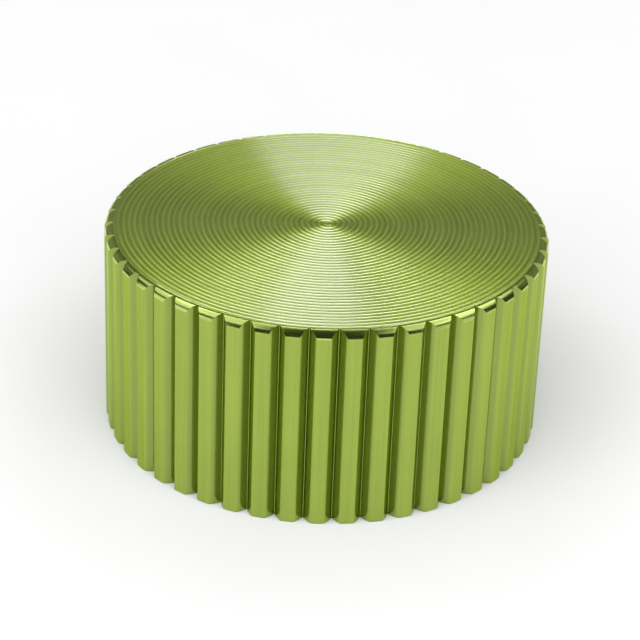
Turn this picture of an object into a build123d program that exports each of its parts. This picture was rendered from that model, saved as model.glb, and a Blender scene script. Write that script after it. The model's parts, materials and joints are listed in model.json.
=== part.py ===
from build123d import *
import math
import os

# A fluted rotary knob for a control with a round shaft. The body is turned from one bar of aluminium,
# and a grub screw in its back clamps it to the shaft. Lengths are in millimetres and angles in degrees.
# The origin is on the turning axis, in the face that the knob stands on, with +Z up.
# The side that a user sees is -Y, and the grub screw goes in from +Y.

# Body: its diameter is over the lands between the flutes, and its rim is rounded into the top face
BODY_DIAMETER = 40.0
BODY_HEIGHT = 19.0
RIM_WIDTH = 0.8
RIM_DROP = 0.75

# Flutes: V grooves that run the full height of the side and leave narrow lands between them
FLUTE_COUNT = 48
FLUTE_MOUTH = 1.45
FLUTE_DEPTH = 0.88
FLUTE_ROOT = 0.12

# Underside: a recess over the control's fixing nut, and a blind bore that slides over a 6 mm shaft
RECESS_DIAMETER = 16.0
RECESS_DEPTH = 5.0
RECESS_CHAMFER = 0.3
BORE_DIAMETER = 6.05
BORE_CHAMFER = 0.4
DRILL_POINT_ANGLE = 118.0
CROWN_THICKNESS = 2.0

# Grub screw with a hexagon socket and a cup point, backed off so that its tip stays out of the bore
SCREW_DIAMETER = 3.0
SCREW_LENGTH = 8.0
SCREW_RISE = 3.5
SCREW_RETREAT = 0.3
SCREW_CLEARANCE = 0.02
SCREW_CHAMFER = 0.3
SOCKET_FLATS = 1.5
SOCKET_DEPTH = 2.0
CUP_DIAMETER = 1.4

# How far a cut runs past the surface that it leaves by
CUT_OVERRUN = 1.0

# Radii and heights of the body
body_radius = BODY_DIAMETER / 2
bore_radius = BORE_DIAMETER / 2
recess_radius = RECESS_DIAMETER / 2
drill_point_slope = math.tan(math.radians(DRILL_POINT_ANGLE / 2))
bore_tip = BODY_HEIGHT - CROWN_THICKNESS
bore_end = bore_tip - bore_radius / drill_point_slope

# A flute's flanks keep their slope out to the end of the cut
flute_root_radius = body_radius - FLUTE_DEPTH
flute_reach = FLUTE_DEPTH + CUT_OVERRUN
flank_slope = (FLUTE_MOUTH - FLUTE_ROOT) / (2 * FLUTE_DEPTH)
root_half = FLUTE_ROOT / 2
reach_half = root_half + flute_reach * flank_slope

# Places along the grub screw, measured out from the turning axis
screw_radius = SCREW_DIAMETER / 2
cup_radius = CUP_DIAMETER / 2
screw_tip = bore_radius + SCREW_RETREAT
screw_end = screw_tip + SCREW_LENGTH
cup_bottom = screw_tip + cup_radius / drill_point_slope
screw_origin = (0, 0, RECESS_DEPTH + SCREW_RISE)
screw_plane = Plane(screw_origin, z_dir=Axis.Y.direction)
screw_section = Plane(screw_origin, x_dir=Axis.Y.direction, z_dir=Axis.X.direction)

os.makedirs("parts", exist_ok=True)

# The body: its turned section, from the tip of the bore round the base to the middle of the top face
with BuildPart() as knob_body:
    with BuildSketch(Plane.XZ) as turned_section:
        with BuildLine() as outline:
            Polyline(
                (0, bore_tip),
                (bore_radius, bore_end),
                (bore_radius, RECESS_DEPTH + BORE_CHAMFER),
                (bore_radius + BORE_CHAMFER, RECESS_DEPTH),
                (recess_radius, RECESS_DEPTH),
                (recess_radius, RECESS_CHAMFER),
                (recess_radius + RECESS_CHAMFER, 0),
                (body_radius, 0),
                (body_radius, BODY_HEIGHT - RIM_DROP),
            )
            EllipticalCenterArc(
                (body_radius - RIM_WIDTH, BODY_HEIGHT - RIM_DROP),
                x_radius=RIM_WIDTH,
                y_radius=RIM_DROP,
                arc_size=90,
            )
            Polyline((body_radius - RIM_WIDTH, BODY_HEIGHT), (0, BODY_HEIGHT), (0, bore_tip))
        make_face()
    revolve(axis=Axis.Z)

    # Flutes, with one land at the front and another at the back for the grub screw's hole
    with BuildSketch(Plane.XY.offset(-CUT_OVERRUN)) as flute_sections:
        with PolarLocations(flute_root_radius, FLUTE_COUNT, start_angle=90 + 180 / FLUTE_COUNT):
            Polygon(
                (0, -root_half),
                (flute_reach, -reach_half),
                (flute_reach, reach_half),
                (0, root_half),
                align=None,
            )
    extrude(amount=BODY_HEIGHT + 2 * CUT_OVERRUN, mode=Mode.SUBTRACT)

    # Tapped cross hole, from the bore out through the back
    with BuildSketch(screw_plane) as cross_hole:
        Circle(screw_radius + SCREW_CLEARANCE)
    extrude(amount=body_radius + CUT_OVERRUN, mode=Mode.SUBTRACT)

# The grub screw: its turned section, from the bottom of the cup to the socket end
with BuildPart() as grub_screw:
    with BuildSketch(screw_section) as shank_section:
        with BuildLine() as shank_outline:
            Polyline(
                (cup_bottom, 0),
                (screw_tip, cup_radius),
                (screw_tip, screw_radius - SCREW_CHAMFER),
                (screw_tip + SCREW_CHAMFER, screw_radius),
                (screw_end - SCREW_CHAMFER, screw_radius),
                (screw_end, screw_radius - SCREW_CHAMFER),
                (screw_end, 0),
                close=True,
            )
        make_face()
    revolve(axis=Axis(screw_origin, Axis.Y.direction))

    # Hexagon socket for the key
    with BuildSketch(screw_plane.offset(screw_end)) as socket_section:
        RegularPolygon(SOCKET_FLATS / 2, 6, major_radius=False)
    extrude(amount=-SOCKET_DEPTH, mode=Mode.SUBTRACT)

knob_body.part.label = "knob_body"
export_step(knob_body.part, "parts/knob_body.step")
grub_screw.part.label = "grub_screw"
export_step(grub_screw.part, "parts/grub_screw.step")
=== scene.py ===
# %% [markdown]
# A control knob turned from one bar of aluminium, fluted round its side, faced on top and dyed yellow-
# green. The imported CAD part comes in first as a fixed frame. Everything below is built around that frame,
# in metres, with Z up and the knob standing on its open end.

# %% Load the frame
import json
import math

import bmesh
import bpy
from mathutils import Matrix, Vector


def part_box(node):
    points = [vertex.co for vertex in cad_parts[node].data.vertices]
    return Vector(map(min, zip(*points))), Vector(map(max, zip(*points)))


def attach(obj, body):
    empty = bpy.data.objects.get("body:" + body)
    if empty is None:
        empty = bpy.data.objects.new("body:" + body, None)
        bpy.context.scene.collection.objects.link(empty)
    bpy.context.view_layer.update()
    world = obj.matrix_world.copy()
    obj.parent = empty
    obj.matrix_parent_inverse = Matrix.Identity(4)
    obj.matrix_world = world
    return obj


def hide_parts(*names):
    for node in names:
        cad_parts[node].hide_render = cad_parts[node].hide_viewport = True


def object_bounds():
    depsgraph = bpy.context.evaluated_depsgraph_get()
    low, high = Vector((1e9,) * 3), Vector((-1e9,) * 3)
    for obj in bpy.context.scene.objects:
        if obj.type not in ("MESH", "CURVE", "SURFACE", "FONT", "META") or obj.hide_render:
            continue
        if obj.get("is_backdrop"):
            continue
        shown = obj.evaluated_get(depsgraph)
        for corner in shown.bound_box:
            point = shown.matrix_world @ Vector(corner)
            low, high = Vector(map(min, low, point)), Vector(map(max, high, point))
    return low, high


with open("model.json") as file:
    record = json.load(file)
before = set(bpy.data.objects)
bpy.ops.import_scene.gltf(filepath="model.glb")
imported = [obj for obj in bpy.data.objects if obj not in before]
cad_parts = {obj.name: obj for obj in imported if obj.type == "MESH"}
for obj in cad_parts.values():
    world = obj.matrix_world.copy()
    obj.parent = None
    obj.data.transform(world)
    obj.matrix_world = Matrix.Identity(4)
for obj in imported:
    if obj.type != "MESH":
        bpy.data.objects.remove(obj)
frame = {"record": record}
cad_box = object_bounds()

MM = 0.001
_, body_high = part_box("knob_body")
screw_low, screw_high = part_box("grub_screw")
body_radius = body_high.x
body_top = body_high.z
print("knob:", round(2 * body_radius / MM, 3), "mm across,", round(body_top / MM, 3), "mm tall")

# %% [markdown]
# Both the shapes and the finishes are made with node trees, and wiring nodes by hand is long. So two small
# classes do the wiring. A Wire is an output socket: when it is used in a sum, it adds the Math node that
# the sum needs. A Board is a tree: it makes any other node from its type, its settings and what goes into
# its sockets.

# %% Wires and boards
class Wire:
    """One output socket, which adds Math nodes when it is used in a sum."""

    def __init__(self, board, socket):
        self.board = board
        self.socket = socket

    def out(self, key):
        """Another output of the same node, by name or number."""
        return Wire(self.board, self.socket.node.outputs[key])

    def math(self, operation, *others):
        return self.board.math(operation, self, *others)

    def __add__(self, other):
        return self.board.math("ADD", self, other)

    def __sub__(self, other):
        return self.board.math("SUBTRACT", self, other)

    def __rsub__(self, other):
        return self.board.math("SUBTRACT", other, self)

    def __mul__(self, other):
        return self.board.math("MULTIPLY", self, other)

    def __truediv__(self, other):
        return self.board.math("DIVIDE", self, other)

    def __rtruediv__(self, other):
        return self.board.math("DIVIDE", other, self)

    __radd__ = __add__
    __rmul__ = __mul__


class Board:
    """A node tree that makes its nodes from a type, settings and sockets."""

    def __init__(self, tree):
        self.tree = tree

    def node(self, kind, settings=None, sockets=None):
        made = self.tree.nodes.new(kind)
        for name, value in (settings or {}).items():
            setattr(made, name, value)
        for key, value in (sockets or {}).items():
            if isinstance(value, Wire):
                self.tree.links.new(value.socket, made.inputs[key])
            else:
                made.inputs[key].default_value = value
        return Wire(self, made.outputs[0]) if made.outputs else None

    def math(self, operation, *values):
        return self.node("ShaderNodeMath", {"operation": operation}, dict(enumerate(values)))

    def between(self, value, low, high):
        """0 up to low, 1 from high on, and a soft step from one to the other."""
        span = {"Value": value, "From Min": low, "From Max": high}
        return self.node("ShaderNodeMapRange", {"interpolation_type": "SMOOTHSTEP"}, span)

    def vary(self, share, low, high):
        """A number from low, at share 0, to high, at share 1."""
        return low + (high - low) * share

    def mix(self, share, first, second):
        """A colour from first, at share 0, to second, at share 1."""
        sockets = {0: share, 6: first, 7: second}
        return self.node("ShaderNodeMix", {"data_type": "RGBA"}, sockets).out(2)

    def vector(self, x, y, z):
        return self.node("ShaderNodeCombineXYZ", None, {"X": x, "Y": y, "Z": z})

    def split(self, vector):
        """A vector's X, with Y and Z as its other outputs."""
        return self.node("ShaderNodeSeparateXYZ", None, {0: vector})

    def noise(self, place, scale=1.0, detail=2.0):
        """Smooth noise at a place, mostly from 0.3 to 0.7."""
        sockets = {"Vector": place, "Scale": scale, "Detail": detail}
        return self.node("ShaderNodeTexNoise", None, sockets)


print("wiring helpers ready")

# %% [markdown]
# The finish is dye in a clear oxide skin on bare metal. Light that gets through the skin is tinted by the
# dye and thrown back by the metal, while the skin's own surface adds a thin white gloss. A tinted metal
# alone would do for the dark parts, but its highlights would stay green, and here they are nearly white.
# So the finish is a metallic base under a clear coat. Every mark runs round the knob's axis or along it,
# so the patterns go by distance, angle and height. A pattern that changes slowly round the knob uses the
# way out from the axis, as x and y, because the angle jumps where a turn ends.

# %% Anodised skin
EDGE_TINT = (0.75, 0.85, 0.40, 1.0)
MARK_STRENGTH = 0.35
MARK_DEPTH = 0.004 * MM
NOISE_SPAN = (0.3, 0.7)
FINE_DETAIL = 3.0


def new_finish(name):
    material = bpy.data.materials.new(name)
    material.use_nodes = True
    material.node_tree.nodes.clear()
    return material, Board(material.node_tree)


def surface(board, height, strength, sockets):
    """A surface with its sockets, and shallow marks of the given height as bump."""
    bump = {"Strength": strength, "Distance": MARK_DEPTH, "Height": height}
    marks = board.node("ShaderNodeBump", None, bump)
    skin = board.node("ShaderNodeBsdfPrincipled", None, {"Normal": marks, **sockets})
    board.node("ShaderNodeOutputMaterial", None, {"Surface": skin})


def anodised(board, marks, sockets):
    """The clear dyed skin over metal, with the marks of the cutter."""
    surface(board, marks, MARK_STRENGTH, {"Metallic": 1.0, "Specular Tint": EDGE_TINT, **sockets})


def polar_place(board):
    """Distance from the knob's axis, angle round it, height, and the way out from the axis as x and y."""
    place = board.split(board.node("ShaderNodeTexCoord").out("Object"))
    x, y, z = (place.out(axis) for axis in "XYZ")
    radius = (x * x + y * y).math("SQRT")
    return radius, y.math("ARCTAN2", x), z, (x / radius, y / radius)


print("skin of dye over metal ready")

# %% [markdown]
# The top and the underside were cut on the lathe. The crests between the turns of the tool throw back more
# light than the valleys, and here that is painted into the colour: the crests get a painted highlight and
# the valleys painted shade. Some turns are paler than others, and a fine grain lies over all. The rings
# themselves are real geometry further down. Only their tone is here, with scratches too fine to model, and
# a base gloss that is stretched across the rings as brushed metal stretches it.

# %% Turned finish
# The crest end of the ring colour is dye plus a painted highlight. The valley end is dye plus painted shade.
DYE_AND_CREST_HIGHLIGHT = (0.82, 1.0, 0.115, 1.0)
DYE_AND_VALLEY_SHADE = (0.47, 0.64, 0.052, 1.0)
RING_PITCH = 0.5 * MM
CREST_SPAN = (0.15, 0.5)
TURN_RATE = 0.9
ROUND_RATE = 0.4
SCRATCH_WIDTH = 0.06 * MM
GRAIN_SIZE = 0.22 * MM
TURN_SHARE = 0.2
GRAIN_SHARE = 0.2
# Share of the colour that is the painted highlight on the ring crests.
CREST_HIGHLIGHT_SHARE = 0.6
TURNED_ROUGHNESS = (0.35, 0.43)
GLOSS_SPAN = (0.35, 0.65)
TURNED_GLOSS = (0.75, 0.85)
CREST_GLOSS = 0.05
TURNED_COAT = {
    "Coat Roughness": 0.155,
    "Coat IOR": 2.8,
    "Anisotropic": 0.65,
    "Anisotropic Rotation": 0.25,
}


def turned_finish():
    material, board = new_finish("anodised_turned")
    radius, angle, height, (way_x, way_y) = polar_place(board)
    across = (radius / RING_PITCH - angle / math.tau).math("FRACT")
    # Where the ring crests are. It drives the gloss and also the painted crest highlight in the colour.
    crest = board.between((across - 0.5).math("ABSOLUTE"), *CREST_SPAN)
    turn_place = board.vector(TURN_RATE * radius / RING_PITCH, ROUND_RATE * way_x, ROUND_RATE * way_y)
    turn_to_turn = board.between(board.noise(turn_place), *NOISE_SPAN)
    scratch_place = board.vector((radius + height) / SCRATCH_WIDTH, way_x, way_y)
    scratches = board.noise(scratch_place, detail=FINE_DETAIL)
    grain_place = board.node("ShaderNodeTexCoord").out("Object")
    grain = board.between(board.noise(grain_place, 1.0 / GRAIN_SIZE), *NOISE_SPAN)
    # The crest share of this is a painted highlight. The turn and grain shares are random tone.
    bright = TURN_SHARE * turn_to_turn + GRAIN_SHARE * grain + CREST_HIGHLIGHT_SHARE * crest
    gloss = board.vary(board.between(scratches, *GLOSS_SPAN), *TURNED_GLOSS) + CREST_GLOSS * crest
    sockets = {
        "Base Color": board.mix(bright, DYE_AND_VALLEY_SHADE, DYE_AND_CREST_HIGHLIGHT),
        "Roughness": board.vary(board.between(scratches, *NOISE_SPAN), *TURNED_ROUGHNESS),
        "Coat Weight": gloss,
        **TURNED_COAT,
    }
    anodised(board, scratches, sockets)
    return material


turned = turned_finish()
print(turned.name, "has", len(turned.node_tree.nodes), "nodes")

# %% [markdown]
# The side has three tones. The lands are the bar's own turned skin, with faint streaks along their length.
# The flutes were drawn upright by a form cutter, so they carry fine upright lines and less gloss. They
# are also coloured darker than the lands, which is painted shade in the hollows. The rounded rim is polished
# bright: it has more gloss, and its paler colour on faces that look up is a painted highlight. Distance
# from the axis tells land from flute, and the surface's own direction tells the rim, so one material does
# it all and the tones run into each other.

# %% Fluted finish
DYE_LIGHT = (0.37, 0.48, 0.075, 1.0)
DYE_DEEP = (0.29, 0.39, 0.055, 1.0)
# Painted shade: the colour of the flutes is darker than that of the lands.
FLUTE_PAINTED_SHADE = (0.280, 0.350, 0.070, 1.0)
# Painted highlight: on faces that look up, the rim's colour is paler than the wall's.
RIM_PAINTED_HIGHLIGHT = (0.58, 0.74, 0.085, 1.0)
LINES_ROUND = 400.0
LINE_WIDTH = 0.08 * MM
LINE_LENGTH = 6.0 * MM
STREAKS_ROUND = 80.0
STREAK_WIDTH = 0.3 * MM
STREAK_LENGTH = 20.0 * MM
CLOUDS_ROUND = 3.0
CLOUD_LENGTH = 5.0 * MM
LAND_SPAN = (body_radius - 0.30 * MM, body_radius - 0.05 * MM)
RIM_SPAN = (0.1, 0.4)
PLAIN_SHARE = 0.15
CLOUD_SHARE = 0.2
STREAK_SHARE = 0.5
FLUTED_ROUGHNESS = (0.18, 0.26)
WALL_GLOSS = 0.12
RIM_GLOSS = 0.75
FLUTED_COAT = {"Coat Roughness": 0.15, "Coat IOR": 2.4}


def fluted_finish():
    material, board = new_finish("anodised_fluted")
    radius, angle, height, (way_x, way_y) = polar_place(board)
    line_place = board.vector(LINES_ROUND * angle, radius / LINE_WIDTH, height / LINE_LENGTH)
    lines = board.noise(line_place, detail=FINE_DETAIL)
    streak_place = board.vector(STREAKS_ROUND * angle, radius / STREAK_WIDTH, height / STREAK_LENGTH)
    streaks = board.between(board.noise(streak_place, detail=FINE_DETAIL), *NOISE_SPAN)
    cloud_place = board.vector(CLOUDS_ROUND * way_x, CLOUDS_ROUND * way_y, height / CLOUD_LENGTH)
    clouds = board.between(board.noise(cloud_place), *NOISE_SPAN)
    pale = PLAIN_SHARE + (CLOUD_SHARE * clouds + STREAK_SHARE * streaks)
    # 1 on the lands, 0 in the flutes, where the colour turns to painted shade.
    land = board.between(radius, *LAND_SPAN)
    # Wall colour: random dye tone on the lands, painted shade in the flutes.
    wall_tone_and_flute_shade = board.mix(land, FLUTE_PAINTED_SHADE, board.mix(pale, DYE_DEEP, DYE_LIGHT))
    facing = board.split(board.node("ShaderNodeTexCoord").out("Normal"))
    # Faces that look up get the rim's painted highlight in their colour, and the rim's gloss.
    rim = board.between(facing.out("Z"), *RIM_SPAN)
    sockets = {
        "Base Color": board.mix(rim, wall_tone_and_flute_shade, RIM_PAINTED_HIGHLIGHT),
        "Roughness": board.vary(board.between(lines, *NOISE_SPAN), *FLUTED_ROUGHNESS),
        "Coat Weight": board.vary(rim, WALL_GLOSS, RIM_GLOSS),
        **FLUTED_COAT,
    }
    anodised(board, lines, sockets)
    return material


fluted = fluted_finish()
print(fluted.name, "has", len(fluted.node_tree.nodes), "nodes")

# %% [markdown]
# The set screw is hardened steel with a thin black oxide: dark, a little oily and softly mottled. A plain
# dark metal would look like plastic in so small a hole, so noise varies its tone and its roughness
# together.

# %% Blackened steel
OXIDE_DARK = (0.018, 0.018, 0.020, 1.0)
OXIDE_PALE = (0.050, 0.050, 0.055, 1.0)
MOTTLE_SIZE = 0.4 * MM
MOTTLE_SPAN = (0.35, 0.65)
OXIDE_ROUGHNESS = (0.32, 0.50)
OXIDE_MARKS = 0.2
OXIDE_METAL = 0.85


def blackened_finish():
    material, board = new_finish("blackened_steel")
    place = board.node("ShaderNodeTexCoord").out("Object")
    mottle = board.noise(place, 1.0 / MOTTLE_SIZE, FINE_DETAIL)
    sockets = {
        "Base Color": board.mix(board.between(mottle, *MOTTLE_SPAN), OXIDE_DARK, OXIDE_PALE),
        "Roughness": board.vary(mottle, *OXIDE_ROUGHNESS),
        "Metallic": OXIDE_METAL,
    }
    surface(board, mottle, OXIDE_MARKS, sockets)
    return material


blackened = blackened_finish()
print(blackened.name, "has", len(blackened.node_tree.nodes), "nodes")

# %% [markdown]
# Shapes that repeat or follow a rule come from Geometry Nodes. A tree gets named inputs, so that its sizes
# can be changed on the modifier, and ends by making its instances real and giving them a material. Then
# the modifier's result is kept as a plain mesh and the modifier goes.

# %% Geometry trees
LEVEL = 0.9999


def geometry_tree(name, inputs):
    tree = bpy.data.node_groups.new(name, "GeometryNodeTree")
    for label, kind in {"Geometry": "Geometry", **inputs, "Material": "Material"}.items():
        tree.interface.new_socket(label, in_out="INPUT", socket_type="NodeSocket" + kind)
    tree.interface.new_socket("Geometry", in_out="OUTPUT", socket_type="NodeSocketGeometry")
    board = Board(tree)
    return board, board.node("NodeGroupInput")


def close_tree(board, given, geometry):
    """Makes instances real and paints them. A Top Material, where given, goes on level faces that look up."""
    real = board.node("GeometryNodeRealizeInstances", None, {0: geometry})
    painted = board.node("GeometryNodeSetMaterial", None, {0: real, "Material": given.out("Material")})
    if "Top Material" in given.socket.node.outputs:
        facing = board.split(board.node("GeometryNodeInputNormal"))
        level = facing.out("Z").math("GREATER_THAN", LEVEL)
        sockets = {0: painted, "Selection": level, "Material": given.out("Top Material")}
        painted = board.node("GeometryNodeSetMaterial", None, sockets)
    board.node("NodeGroupOutput", None, {0: painted})
    return board.tree


def new_piece(name, mesh):
    piece = bpy.data.objects.new(name, mesh)
    bpy.context.scene.collection.objects.link(piece)
    return piece


def settle(piece):
    """Keeps what the modifiers make as the piece's own mesh, and drops the modifiers."""
    seen = piece.evaluated_get(bpy.context.evaluated_depsgraph_get())
    mesh = bpy.data.meshes.new_from_object(seen)
    piece.modifiers.clear()
    piece.data = mesh
    return piece


def grow(name, tree, sizes, material, start=None):
    """A piece from a tree, its named sizes, and the mesh that it starts from, where it has one."""
    piece = new_piece(name, start or bpy.data.meshes.new(name))
    modifier = piece.modifiers.new("tree", "NODES")
    modifier.node_group = tree
    sockets = {s.name: s.identifier for s in tree.interface.items_tree if s.in_out == "INPUT"}
    for label, value in {**sizes, "Material": material}.items():
        modifier[sockets[label]] = value
    settle(piece)
    print(name, "grew", len(piece.data.polygons), "faces")
    return piece


print("tree helpers ready")

# %% [markdown]
# The fluted wall is one rib, 48 times. It could be cut from a cylinder with 48 grooves, but then each
# groove would cut the rim's curve too, and leave slivers. So a rib is drawn as a grid: the flat land with
# half a flute on each side. Its plan is a list of columns, each an angle and a radius, with the land's
# edge broken and the flank a little crowned, so that light rolls over it. Up each column run the broken
# base edge, the wall and the rounded rim. The rim starts where its curve has come in to the column's own
# radius, so flutes run out through it in a V.

# %% Plan of one rib
RIBS = 48
FLUTE_MOUTH = 1.45 * MM
FLUTE_DEPTH = 0.88 * MM
FLUTE_ROOT = 0.05 * MM
FLANK_CROWN = 0.06 * MM
FLANK_STEPS = 8
EDGE_BREAK = 0.06 * MM
HALVINGS = 40
half_pitch = math.pi / RIBS
root_radius = body_radius - FLUTE_DEPTH


def flank_point(rise):
    """A point of the flank at a height above the root: its place across the flute and out from the axis."""
    share = rise / FLUTE_DEPTH
    straight = FLUTE_ROOT / 2 + (FLUTE_MOUTH - FLUTE_ROOT) / 2 * share
    return Vector((straight - FLANK_CROWN * 4 * share * (1 - share), root_radius + rise))


def corner_rise():
    """The height above the root at which the flank meets the land, found by halving."""
    low, high = 0.0, FLUTE_DEPTH
    for _ in range(HALVINGS):
        middle = (low + high) / 2
        low, high = (middle, high) if flank_point(middle).length < body_radius else (low, middle)
    return low


def half_rib():
    """(angle from the land's middle, radius) of each column from that middle to the root of the flute."""
    top = corner_rise()
    corner = flank_point(top)
    flank = [flank_point((top - EDGE_BREAK) * (1 - step / FLANK_STEPS)) for step in range(FLANK_STEPS + 1)]
    land_end = half_pitch - math.atan2(corner.x, corner.y) - EDGE_BREAK / body_radius
    edge = Vector((math.sin(half_pitch - land_end), math.cos(half_pitch - land_end))) * body_radius
    rounded = (edge + flank[0] + 2 * corner) / 4
    outside = [(0.0, body_radius), (land_end / 2, body_radius), (land_end, body_radius)]
    inside = [rounded, *flank, Vector((0.0, root_radius))]
    return outside + [(half_pitch - math.atan2(p.x, p.y), p.length) for p in inside]


print("half a rib has", len(half_rib()), "columns")

# %% One rib
RIM_WIDTH = 0.8 * MM
RIM_DROP = 0.75 * MM
RIM_MARGIN = 0.4 * MM
RIM_STEPS = 9
BASE_BREAK = 0.12 * MM
FACE_RADIUS = 19.08 * MM
BASE_RADIUS = 18.5 * MM
PATCH_STEPS = 4


def rim_point(radius, share):
    """Radius and height on the rim above a column, from the wall at share 0 to the flat face at share 1."""
    inner = body_radius - RIM_WIDTH
    start = math.acos(min(1.0, max(0.0, (radius - inner) / RIM_WIDTH)))
    turn = start + (math.pi / 2 - start) * share
    return min(radius, inner + RIM_WIDTH * math.cos(turn)), body_top - RIM_DROP * (1 - math.sin(turn))


def column(radius):
    """(radius, height) of each row of a column, from the base up to the flat face."""
    rim = [rim_point(radius, step / RIM_STEPS) for step in range(RIM_STEPS + 1)]
    return [(radius - BASE_BREAK, 0.0), (radius, BASE_BREAK), (radius, rim[0][1] - RIM_MARGIN), *rim]


def polar(radius, angle, height):
    return Vector((radius * math.cos(angle), radius * math.sin(angle), height))


def rib_mesh():
    """One rib, with a patch of the base and one of the top that reach in to where other pieces begin."""
    half = half_rib()
    plan = [(-angle, radius) for angle, radius in reversed(half[1:])] + half
    made = bmesh.new()
    grid = [[made.verts.new(polar(r, angle, z)) for r, z in column(radius)] for angle, radius in plan]
    for left, right in zip(grid, grid[1:]):
        for row in range(len(left) - 1):
            made.faces.new((left[row], right[row], right[row + 1], left[row + 1]))
    for row, radius, height in ((0, BASE_RADIUS, 0.0), (-1, FACE_RADIUS, body_top)):
        angles = [half_pitch * (2 * step / PATCH_STEPS - 1) for step in range(PATCH_STEPS + 1)]
        inner = [made.verts.new(polar(radius, angle, height)) for angle in angles]
        made.faces.new([line[row] for line in grid] + inner[::-1])
    mesh = bpy.data.meshes.new("rib")
    made.to_mesh(mesh)
    made.free()
    return mesh


rib = rib_mesh()
print("one rib has", len(rib.polygons), "faces")

# %% [markdown]
# Now the rib goes round. An array that turns by an object's angle would do it, but a tree of points keeps
# the count as a plain input. Each point turns its copy by its own share of the circle, and copies that
# meet are welded. The patch on top has the lathe's finish, and it is the only face of a rib that lies
# level and looks up.

# %% Ribs all round
WELD = 0.5e-6


def ring_of_ribs_tree():
    """Sets copies of a rib round the axis, welds them, and gives the flat top its own finish."""
    inputs = {"Ribs": "Int", "Weld": "Float", "Top Material": "Material"}
    board, given = geometry_tree("ring_of_ribs", inputs)
    spots = board.node("GeometryNodePoints", None, {"Count": given.out("Ribs")})
    turn = board.node("GeometryNodeInputIndex") / given.out("Ribs") * math.tau
    sockets = {"Points": spots, "Instance": given.out("Geometry"), "Rotation": board.vector(0.0, 0.0, turn)}
    copies = board.node("GeometryNodeInstanceOnPoints", None, sockets)
    real = board.node("GeometryNodeRealizeInstances", None, {0: copies})
    welded = board.node("GeometryNodeMergeByDistance", None, {0: real, "Distance": given.out("Weld")})
    return close_tree(board, given, welded)


wall_sizes = {"Ribs": RIBS, "Weld": WELD, "Top Material": turned}
wall = grow("fluted_wall", ring_of_ribs_tree(), wall_sizes, fluted, rib)

# %% [markdown]
# The top was faced in one pass: the work turns while the tool creeps across it, half a millimetre each
# turn, and its slightly rounded point leaves one long spiral groove. Bump could draw it, but a clear coat
# has a normal of its own and takes no notice of bump, and the bright wedges on the top come from the
# groove's slopes. So the groove is real. A flat grid becomes the spiral when one of its sides is bent into
# a full turn and every row moves out by one pitch on the way round. The end of a row then meets the start
# of the row one pitch further out.

# %% Turned face
RING_DEPTH = 0.033 * MM
TOOL_POINT = 0.7
ROWS_PER_TURN = 6
CENTRE_RADIUS = 0.3 * MM
FADE = 0.12 * RING_PITCH
SEGMENTS = RIBS * PATCH_STEPS


def flat_grid(board, given):
    """A grid of Segments by Rows, with each point's share of a full turn and the number of its row."""
    sides = {
        "Size X": 1.0,
        "Size Y": 1.0,
        "Vertices X": given.out("Segments") + 1,
        "Vertices Y": given.out("Rows") + 1,
    }
    grid = board.node("GeometryNodeMeshGrid", None, sides)
    place = board.split(board.node("GeometryNodeInputPosition"))
    return grid, place.out("X") + 0.5, ((place.out("Y") + 0.5) * given.out("Rows")).math("ROUND")


def bend(board, grid, radius, turn, height):
    """Sets the grid's points round the Z axis."""
    angle = turn * math.tau
    spot = board.vector(radius * angle.math("COSINE"), radius * angle.math("SINE"), height)
    return board.node("GeometryNodeSetPosition", None, {0: grid, "Position": spot})


def turned_face_tree():
    sizes = ("Pitch", "Depth", "Centre", "Edge", "Height", "Fade", "Weld")
    inputs = {"Segments": "Int", "Rows": "Int", **dict.fromkeys(sizes, "Float")}
    board, given = geometry_tree("turned_face", inputs)
    pitch, depth, centre, edge, height, fade, weld_size = (given.out(size) for size in sizes)
    grid, turn, row = flat_grid(board, given)
    turns_out = row / ROWS_PER_TURN
    spiral = (turns_out + turn - 1.0) * pitch
    radius = spiral.math("MAXIMUM", centre).math("MINIMUM", edge)
    across = turns_out.math("FRACT")
    rounded = 4.0 * across * (1.0 - across)
    pointed = 1.0 - (2.0 * across - 1.0).math("ABSOLUTE")
    hollow = rounded + TOOL_POINT * (pointed - rounded)
    from_edge = board.between((edge - radius) / fade, 0.0, 1.0)
    from_centre = board.between((radius - centre) / fade, 0.0, 1.0)
    spun = bend(board, grid, radius, turn, height - depth * hollow * (from_edge * from_centre))
    disc_sockets = {"Vertices": given.out("Segments"), "Radius": centre}
    disc = board.node("GeometryNodeMeshCircle", {"fill_type": "TRIANGLE_FAN"}, disc_sockets)
    lift = board.vector(0.0, 0.0, height)
    raised = board.node("GeometryNodeTransform", None, {0: disc, "Translation": lift})
    both = board.node("GeometryNodeJoinGeometry", None, {0: spun})
    board.tree.links.new(raised.socket, both.socket.node.inputs[0])
    welded = board.node("GeometryNodeMergeByDistance", None, {0: both, "Distance": weld_size})
    return close_tree(board, given, welded)


face_sizes = {
    "Segments": SEGMENTS,
    "Rows": (math.ceil(FACE_RADIUS / RING_PITCH) + 1) * ROWS_PER_TURN,
    "Pitch": RING_PITCH,
    "Depth": RING_DEPTH,
    "Centre": CENTRE_RADIUS,
    "Edge": FACE_RADIUS,
    "Height": body_top,
    "Fade": FADE,
    "Weld": WELD,
}
face = grow("turned_face", turned_face_tree(), face_sizes, turned)

# %% [markdown]
# Underneath, the knob is hollow: a recess for the nut of the control, then the bore for its shaft, which
# ends in the cone that a drill leaves. All of it is one profile spun round the axis. A Screw modifier
# would spin it too, but a short lathe function closes the point on the axis by itself, and serves again
# for the screw's socket. The mount in the record gives the bore.

# %% Underside
RECESS_RADIUS = 8.0 * MM
RECESS_DEPTH = 5.0 * MM
RECESS_CHAMFER = 0.3 * MM
RECESS_FILLET = 0.25 * MM
BORE_CHAMFER = 0.4 * MM
DRILL_POINT = math.radians(118.0)
FILLET_STEPS = 4


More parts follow.
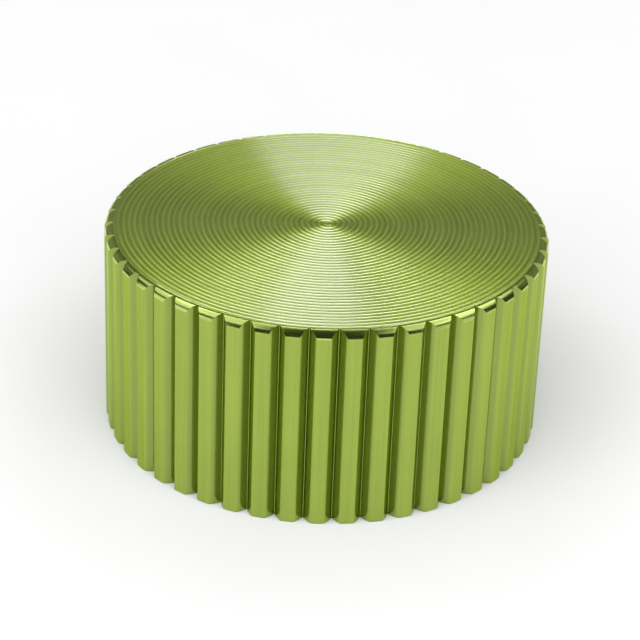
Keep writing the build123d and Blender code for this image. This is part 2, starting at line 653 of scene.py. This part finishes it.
def lathe(name, profile, segments, material):
    """Spins (radius, height) points round Z. A radius of zero is a single point on the axis."""
    made = bmesh.new()
    rings = []
    for radius, height in profile:
        count = segments if radius > 0 else 1
        angles = [math.tau * step / segments for step in range(count)]
        rings.append([made.verts.new(polar(radius, angle, height)) for angle in angles])
    for low, high in zip(rings, rings[1:]):
        for step in range(segments):
            after = (step + 1) % segments
            lower = [low[step % len(low)], low[after % len(low)]]
            upper = [high[after % len(high)], high[step % len(high)]]
            made.faces.new(dict.fromkeys(lower + upper))
    mesh = bpy.data.meshes.new(name)
    made.to_mesh(mesh)
    made.free()
    mesh.materials.append(material)
    return new_piece(name, mesh)


def recess_fillet(turn):
    """(radius, height) on the fillet where the recess's wall runs into its floor."""
    radius = RECESS_RADIUS - RECESS_FILLET + RECESS_FILLET * math.cos(turn)
    return radius, RECESS_DEPTH - RECESS_FILLET * (1 - math.sin(turn))


def underside_profile():
    bore = next(m for m in frame["record"]["mounts"] if m["name"] == "shaft_bore")
    bore_radius = bore["dims"]["r_mm"] * MM
    bore_end = RECESS_DEPTH + BORE_CHAMFER + bore["dims"]["length_mm"] * MM
    mouth = [(BASE_RADIUS, 0.0), (RECESS_RADIUS + RECESS_CHAMFER, 0.0), (RECESS_RADIUS, RECESS_CHAMFER)]
    fillet = [recess_fillet(math.pi / 2 * step / FILLET_STEPS) for step in range(FILLET_STEPS + 1)]
    shaft_hole = [(bore_radius + BORE_CHAMFER, RECESS_DEPTH), (bore_radius, RECESS_DEPTH + BORE_CHAMFER)]
    tip = bore_end + bore_radius / math.tan(DRILL_POINT / 2)
    return [*mouth, *fillet, *shaft_hole, (bore_radius, bore_end), (0.0, tip)]


underside = lathe("underside", underside_profile(), SEGMENTS, turned)
print("underside has", len(underside.data.polygons), "faces")

# %% [markdown]
# On the real knob all this is one piece of metal. The three meshes share their edge points, so joined and
# welded they are one closed skin, which the next cut needs. A last pass turns every face outwards, and
# counts the edges that don't have a face on each side: there should be none.

# %% Weld the body
def weld(pieces, name):
    """Joins pieces into the first, welds what meets and turns all faces outwards."""
    first = pieces[0]
    if len(pieces) > 1:
        with bpy.context.temp_override(active_object=first, object=first, selected_editable_objects=pieces):
            bpy.ops.object.join()
    first.name = name
    made = bmesh.new()
    made.from_mesh(first.data)
    bmesh.ops.remove_doubles(made, verts=made.verts, dist=WELD)
    bmesh.ops.recalc_face_normals(made, faces=made.faces)
    open_edges = sum(not edge.is_manifold for edge in made.edges)
    made.to_mesh(first.data)
    made.free()
    print(name, "is welded, with", open_edges, "open edges")
    return first


body = weld([wall, face, underside], "knob_skin")

# %% [markdown]
# A tapped hole runs in from the back for the screw that grips the shaft. A thread is again a grid that
# climbs as it goes round, this time along the axis, with a radius that rises and falls once for each
# pitch. One tree makes both the tap that cuts the hole and the screw that fits it. They share their phase,
# so the two threads mesh.

# %% Thread
THREAD_FLAT = 0.15


def thread_tree():
    sizes = ("Radius", "Depth", "Pitch", "Start", "End", "Chamfer", "Weld")
    inputs = {"Segments": "Int", "Rows": "Int", **dict.fromkeys(sizes, "Float")}
    board, given = geometry_tree("thread", inputs)
    radius, depth, pitch, start, end, chamfer, weld_size = (given.out(size) for size in sizes)
    rows = given.out("Rows")
    grid, turn, row = flat_grid(board, given)
    share = ((row - 1.0) / (rows - 2.0)).math("MAXIMUM", 0.0).math("MINIMUM", 1.0)
    along = start + (end - start) * share
    ridge = ((along / pitch - turn).math("FRACT") * 2.0 - 1.0).math("ABSOLUTE")
    flank_span = {"Value": ridge, "From Min": THREAD_FLAT, "From Max": 1.0 - THREAD_FLAT}
    flank = board.node("ShaderNodeMapRange", None, flank_span)
    from_end = (along - start).math("MINIMUM", end - along)
    cone = radius - chamfer + from_end
    on_axis = row.math("LESS_THAN", 0.5) + row.math("GREATER_THAN", rows - 0.5)
    reach = (radius - depth * flank).math("MINIMUM", cone) * (1.0 - on_axis)
    spun = bend(board, grid, reach, turn, along)
    welded = board.node("GeometryNodeMergeByDistance", None, {0: spun, "Distance": weld_size})
    return close_tree(board, given, welded)


thread = thread_tree()
print("thread tree has", len(thread.nodes), "nodes")

# %% [markdown]
# The hole is cut as a workshop would cut it: with a tap, here a threaded rod a hair larger than the screw,
# that is taken out of the body with a Boolean. A plain drilled hole would be simpler, but its mouth is in
# full view from behind, and the thread's first turn shows there.

# %% Cut the tapped hole
THREAD_PITCH = 0.5 * MM
THREAD_DEPTH = 0.27 * MM
THREAD_SEGMENTS = 32
ROWS_PER_PITCH = 6
HOLE_CLEARANCE = 0.02 * MM
OVERRUN = 1.0 * MM
screw_height = (screw_low.z + screw_high.z) / 2
screw_radius = (screw_high.x - screw_low.x) / 2
laid_back = Matrix.Translation((0.0, 0.0, screw_height)) @ Matrix.Rotation(-math.pi / 2, 4, "X")


def threaded_rod(name, radius, depth, start, end, chamfer, material):
    """A closed threaded rod from start to end along +Y, at the height of the screw."""
    sizes = {
        "Segments": THREAD_SEGMENTS,
        "Rows": round((end - start) / THREAD_PITCH * ROWS_PER_PITCH) + 2,
        "Radius": radius,
        "Depth": depth,
        "Pitch": THREAD_PITCH,
        "Start": start,
        "End": end,
        "Chamfer": chamfer,
        "Weld": WELD,
    }
    rod = grow(name, thread, sizes, material)
    rod.data.transform(laid_back)
    return weld([rod], name)


def carve(piece, cutter):
    """Cuts one closed piece out of another, and drops the cutter."""
    cut = piece.modifiers.new("cut", "BOOLEAN")
    cut.operation = "DIFFERENCE"
    cut.solver = "EXACT"
    cut.object = cutter
    settle(piece)
    bpy.data.objects.remove(cutter)
    print(piece.name, "has", len(piece.data.polygons), "faces after the cut")


tap_radius = screw_radius + HOLE_CLEARANCE
tap = threaded_rod("tap", tap_radius, THREAD_DEPTH, OVERRUN, body_radius + OVERRUN, 0.0, fluted)
carve(body, tap)

# %% [markdown]
# The grub screw has no head, only a hexagon socket in its outer end and a cup in its point that bites the
# shaft. Both are cut from the threaded rod with spun shapes: a lathe with six segments makes a hexagon.

# %% Grub screw
SCREW_THREAD_DEPTH = 0.29 * MM
SCREW_CHAMFER = 0.3 * MM
SOCKET_FLATS = 1.5 * MM
SOCKET_DEPTH = 2.0 * MM
SOCKET_SIDES = 6
SOCKET_TURN = math.radians(13.0)
CUP_RADIUS = 0.7 * MM

screw = threaded_rod(
    "set_screw", screw_radius, SCREW_THREAD_DEPTH, screw_low.y, screw_high.y, SCREW_CHAMFER, blackened
)
socket_radius = SOCKET_FLATS / math.sqrt(3.0)
socket_floor = screw_high.y - SOCKET_DEPTH
socket_profile = [
    (0.0, socket_floor - socket_radius / math.tan(DRILL_POINT / 2)),
    (socket_radius, socket_floor),
    (socket_radius, screw_high.y + OVERRUN),
    (0.0, screw_high.y + OVERRUN),
]
cup_profile = [
    (0.0, screw_low.y + CUP_RADIUS),
    (CUP_RADIUS + OVERRUN, screw_low.y - OVERRUN),
    (0.0, screw_low.y - OVERRUN),
]
cutters = {"key_socket": (socket_profile, SOCKET_SIDES), "cup_point": (cup_profile, THREAD_SEGMENTS)}
for label, (profile, segments) in cutters.items():
    cutter = lathe(label, profile, segments, blackened)
    cutter.data.transform(laid_back @ Matrix.Rotation(SOCKET_TURN, 4, "Z"))
    carve(screw, weld([cutter], label))

# %% [markdown]
# Faces that bend gently should shade as one curve, and real edges should stay crisp. So every face is
# smooth, and an edge is marked sharp where its two faces turn by more than a set angle. The angle is small
# enough to keep the crests of the rings sharp, as the tool left them. Then each piece takes the place of
# its CAD node.

# %% Shading
SHARP_TURN = math.radians(15.0)


def shade(piece):
    piece.data.shade_smooth()
    piece.data.set_sharp_from_angle(angle=SHARP_TURN)
    piece.data.calc_loop_triangles()
    print(piece.name, len(piece.data.loop_triangles), "triangles")


for piece, node, slot in ((body, "knob_body", "anodised_aluminium"), (screw, "grub_screw", "screw_steel")):
    shade(piece)
    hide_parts(node)
    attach(piece, "root")

# %% [markdown]
# The stage is a pale floor, wide enough to be all that the camera sees round the knob. The upright lands
# mirror only this floor, so it is also the largest lamp of all. A curved backdrop would do as well, but
# its bend would show in the rim.

# %% Floor
PAPER_DARK = (0.86, 0.86, 0.86, 1.0)
PAPER_LIGHT = (0.90, 0.90, 0.90, 1.0)
PAPER_GRAIN = 25.0 * MM
PAPER_ROUGHNESS = 0.9
FLOOR_REACH = 4.0


def floor_finish():
    material, board = new_finish("pale_floor")
    grain = board.noise(board.node("ShaderNodeTexCoord").out("Object"), 1.0 / PAPER_GRAIN)
    sockets = {"Base Color": board.mix(grain, PAPER_DARK, PAPER_LIGHT), "Roughness": PAPER_ROUGHNESS}
    paper = board.node("ShaderNodeBsdfPrincipled", None, sockets)
    board.node("ShaderNodeOutputMaterial", None, {"Surface": paper})
    return material


floor_mesh = bpy.data.meshes.new("floor")
corners = [(x * FLOOR_REACH, y * FLOOR_REACH, 0.0) for x, y in ((-1, -1), (1, -1), (1, 1), (-1, 1))]
floor_mesh.from_pydata(corners, [], [(0, 1, 2, 3)])
floor_mesh.materials.append(floor_finish())
floor = new_piece("floor", floor_mesh)
floor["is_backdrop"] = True
print("floor is", 2 * FLOOR_REACH, "m across")

# %% [markdown]
# Metal shows its surroundings rather than its own colour, so the soft boxes are placed by what mirrors
# them. Each ring on the top has a slope that looks out and one that looks in. Behind the knob, a low box
# shows in one and two high boxes in the other, and together they draw the bright wedges. Boxes to the left
# and right show in the rounded rim and in the rings between the wedges, dim backdrops keep the rim from
# going black, and a low box in front shows under the rim's near edge. The fill lights the floor and isn't
# mirrored at all.

# %% Lights
WORLD_GREY = 0.025
FLOOR_LAMP = "fill"
# Name: azimuth and elevation in degrees, then distance, width and height in metres, then radiance
LAMPS = {
    "fill": (-6, 50, 1.2, 2.4, 1.6, 2.25),
    "low_back": (179.0, 11.5, 1.0, 0.155, 0.17, 3.9),
    "back_left": (183, 46, 1.0, 0.07, 0.10, 3.1),
    "back_right": (177.8, 46, 1.0, 0.05, 0.10, 3.1),
    "left_high": (-108, 66, 1.0, 1.5, 0.36, 0.9),
    "left_mid": (-112, 50, 1.0, 0.9, 0.32, 0.85),
    "right_high": (106, 62, 1.0, 1.5, 0.42, 0.8),
    "right_mid": (112, 50, 1.0, 0.9, 0.32, 0.75),
    "rim_left": (-157, 51, 1.0, 0.20, 0.14, 1.3),
    "rim_right": (157, 51, 1.0, 0.20, 0.14, 1.6),
    "left_low": (-76, 14, 1.0, 0.95, 0.5, 0.85),
    "right_low": (67, 15, 1.0, 0.45, 0.5, 0.65),
    "low_front": (0, 5, 1.0, 0.26, 0.10, 2.8),
    "backdrop_left": (-148, 18, 1.1, 1.2, 0.5, 0.19),
    "backdrop_right": (148, 18, 1.1, 1.2, 0.5, 0.17),
}


def aim(azimuth, elevation):
    """The direction from the knob: azimuth 0 is towards the camera, 90 to its right."""
    a = math.radians(azimuth)
    e = math.radians(elevation)
    return Vector((math.sin(a) * math.cos(e), -math.cos(a) * math.cos(e), math.sin(e)))


def soft_box(name, azimuth, elevation, distance, width, height, radiance, mirrored):
    """A flat lamp that faces the knob. One that isn't mirrored only lights what is matt."""
    lamp = bpy.data.lights.new(name, "AREA")
    lamp.shape = "RECTANGLE"
    lamp.size = width
    lamp.size_y = height
    lamp.energy = radiance * math.pi * width * height
    box = bpy.data.objects.new(name, lamp)
    towards = aim(azimuth, elevation)
    box.location = towards * distance
    box.rotation_mode = "QUATERNION"
    box.rotation_quaternion = towards.to_track_quat("Z", "Y")
    box.visible_glossy = mirrored
    box.visible_camera = False
    bpy.context.scene.collection.objects.link(box)


for name, setting in LAMPS.items():
    soft_box(name, *setting, mirrored=name != FLOOR_LAMP)
world = bpy.data.worlds.new("studio")
world.use_nodes = True
world_colour = (WORLD_GREY, WORLD_GREY, WORLD_GREY, 1.0)
world.node_tree.nodes["Background"].inputs["Color"].default_value = world_colour
bpy.context.scene.world = world
bpy.context.scene.view_settings.view_transform = "Standard"
print(len(LAMPS), "lamps:", ", ".join(LAMPS))

# %% [markdown]
# The camera stands in front and looks down at about 29 degrees through a long lens. It is rolled by a
# little over two degrees, which leans the knob to the right in the picture.

# %% Camera
CAMERA_DISTANCE = 215.2 * MM
CAMERA_AZIMUTH = -0.4
CAMERA_ELEVATION = 29.26
CAMERA_ROLL = math.radians(-2.26)
CAMERA_TILT = math.radians(0.11)
CAMERA_PAN = math.radians(-0.08)
LENS = 131.57
SENSOR = 36.0
CLIP_START = 0.01

camera_data = bpy.data.cameras.new("camera")
camera_data.lens = LENS
camera_data.sensor_width = SENSOR
camera_data.clip_start = CLIP_START
camera = bpy.data.objects.new("camera", camera_data)
towards = aim(CAMERA_AZIMUTH, CAMERA_ELEVATION)
camera.location = Vector((0.0, 0.0, body_top / 2)) + CAMERA_DISTANCE * towards
looking = towards.to_track_quat("Z", "Y").to_matrix()
pan = Matrix.Rotation(-CAMERA_PAN, 3, "Y")
tilt = Matrix.Rotation(-CAMERA_TILT, 3, "X")
roll = Matrix.Rotation(-CAMERA_ROLL, 3, "Z")
camera.rotation_mode = "QUATERNION"
camera.rotation_quaternion = (looking @ (pan @ tilt @ roll)).to_quaternion()
bpy.context.scene.collection.objects.link(camera)
bpy.context.scene.camera = camera
print("camera at", [round(c / MM, 1) for c in camera.location], "mm")

# %% [markdown]
# The finished pieces should fill the CAD part's box and stay inside it. Both boxes are printed.

# %% Sizes
boxes = {"cad": cad_box, "visual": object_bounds()}
for name, box in boxes.items():
    print(name, "box in mm:", [tuple(round(c / MM, 2) for c in corner) for corner in box])
